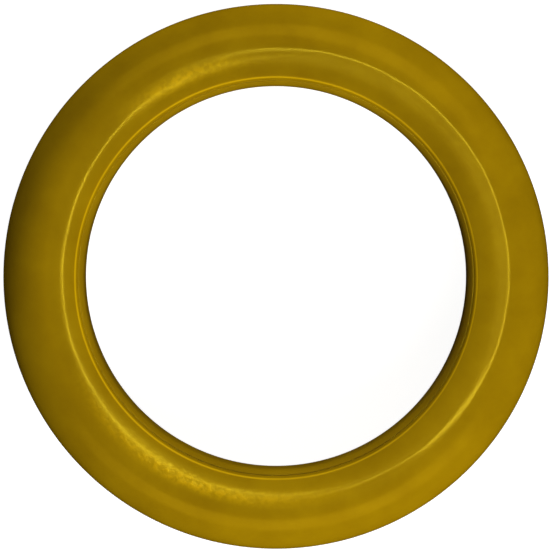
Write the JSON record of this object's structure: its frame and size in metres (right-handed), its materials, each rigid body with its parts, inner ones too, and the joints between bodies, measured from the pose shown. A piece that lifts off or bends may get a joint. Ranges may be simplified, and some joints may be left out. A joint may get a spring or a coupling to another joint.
{
  "type": "juggling ring",
  "caption": "Hollow moulded juggling ring with a rounded outer edge, gently sloping faces and a separate band lining the wide open centre.",
  "frame": {"origin": "centre of the ring, on its axis and halfway through its thickness", "axes": "+Z along the ring's axis, out of the front face; X and Y lie in the plane of the ring; the ring lies flat on its rear face"},
  "size_m": [0.24, 0.24, 0.034],
  "materials": {
    "shell": "glossy moulded mustard-yellow plastic, lightly mottled and scuffed",
    "band": "same mustard-yellow plastic, a little duller inside the hole"
  },
  "bodies": {
    "root": {"front_shell": "shell", "rear_shell": "shell", "inner_band": "band"}
  },
  "joints": []
}
